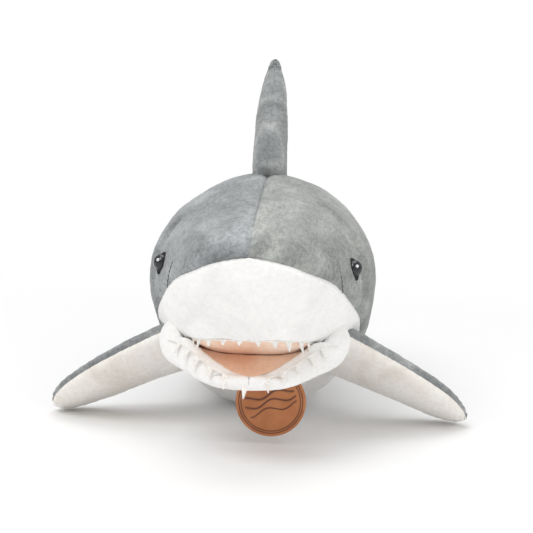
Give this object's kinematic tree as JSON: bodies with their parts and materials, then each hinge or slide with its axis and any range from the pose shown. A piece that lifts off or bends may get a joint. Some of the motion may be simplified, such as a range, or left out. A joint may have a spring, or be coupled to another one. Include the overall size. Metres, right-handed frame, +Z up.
{
  "type": "plush shark",
  "caption": "Stuffed plush shark with an open toothed mouth, soft jaw, flexible fins, bending tail and a hanging tag.",
  "frame": {"origin": "on the floor under the middle of the toy, at the middle of its box seen from above", "axes": "+Z up, nose towards -Y, the shark's own left is +X"},
  "size_m": [0.2908, 0.5097, 0.247],
  "materials": {
    "grey_plush": "short pile plush with brushed nap",
    "white_plush": "short pile plush",
    "cream_plush": "short pile plush",
    "peach_lining": "smooth short pile lining",
    "white_felt": "cut felt",
    "dark_felt": "cut felt",
    "black_plastic": "polished",
    "washer_plastic": "moulded",
    "dark_thread": "stitched thread",
    "fibre_filling": "loose polyester fibre",
    "label_ribbon": "satin ribbon, blank",
    "tag_leather": "faux leather with burnt rings"
  },
  "bodies": {
    "root": {"back_panel_left": "grey_plush", "back_panel_right": "grey_plush", "snout_panel": "white_plush", "belly_panel": "cream_plush", "body_filling": "fibre_filling", "snout_filling": "fibre_filling", "eye_left": "black_plastic", "eye_right": "black_plastic", "eye_felt_left": "dark_felt", "eye_felt_right": "dark_felt", "eye_washer_left": "washer_plastic", "eye_washer_right": "washer_plastic", "nostril_stitch_left": "dark_thread", "nostril_stitch_right": "dark_thread", "palate_panel": "peach_lining", "upper_teeth_strip": "white_felt", "care_label": "label_ribbon", "tag_loop": "dark_thread"},
    "jaw": {"jaw_panel": "cream_plush", "jaw_lining": "peach_lining", "jaw_filling": "fibre_filling", "lower_teeth_strip": "white_felt"},
    "fin_left": {"fin_left_top_panel": "grey_plush", "fin_left_bottom_panel": "white_plush", "fin_left_filling": "fibre_filling"},
    "fin_right": {"fin_right_top_panel": "grey_plush", "fin_right_bottom_panel": "white_plush", "fin_right_filling": "fibre_filling"},
    "dorsal_fin": {"dorsal_left_panel": "grey_plush", "dorsal_right_panel": "grey_plush", "dorsal_filling": "fibre_filling"},
    "tail": {"tail_back_left": "grey_plush", "tail_back_right": "grey_plush", "tail_belly": "cream_plush", "tail_filling": "fibre_filling"},
    "caudal_fin": {"caudal_left_panel": "grey_plush", "caudal_right_panel": "grey_plush", "caudal_filling": "fibre_filling"},
    "tag": {"tag_disc": "tag_leather"}
  },
  "joints": [
    {"name": "jaw_open", "type": "hinge", "parent": "root", "child": "jaw", "pos_m": [0, -0.16, 0.063], "axis": [1, 0, 0], "range_deg": [-6, 10], "stiffness_Nm_per_rad": 0.15},
    {"name": "fin_left_flap", "type": "hinge", "parent": "root", "child": "fin_left", "pos_m": [0.06143, -0.1, 0.0486], "axis": [-0.185, 0.8909, -0.4149], "range_deg": [-12, 12], "stiffness_Nm_per_rad": 1.5},
    {"name": "fin_right_flap", "type": "hinge", "parent": "root", "child": "fin_right", "pos_m": [-0.06143, -0.1, 0.0486], "axis": [0.185, 0.8909, -0.4149], "range_deg": [-12, 12], "stiffness_Nm_per_rad": 1.5},
    {"name": "dorsal_flop", "type": "hinge", "parent": "root", "child": "dorsal_fin", "pos_m": [0, 0, 0.158], "axis": [0, 1, 0], "range_deg": [-20, 20], "stiffness_Nm_per_rad": 0.3},
    {"name": "tail_bend", "type": "hinge", "parent": "root", "child": "tail", "pos_m": [0, 0.121, 0.06], "axis": [0, 0, 1], "range_deg": [-20, 20], "stiffness_Nm_per_rad": 1},
    {"name": "caudal_bend", "type": "hinge", "parent": "tail", "child": "caudal_fin", "pos_m": [0, 0.2075, 0.06], "axis": [0, 0, 1], "range_deg": [-20, 20], "stiffness_Nm_per_rad": 0.2},
    {"name": "tag_swing", "type": "hinge", "parent": "root", "child": "tag", "pos_m": [0.011, -0.1582, 0.0496], "axis": [1, 0, 0], "range_deg": [-60, 35]}
  ]
}
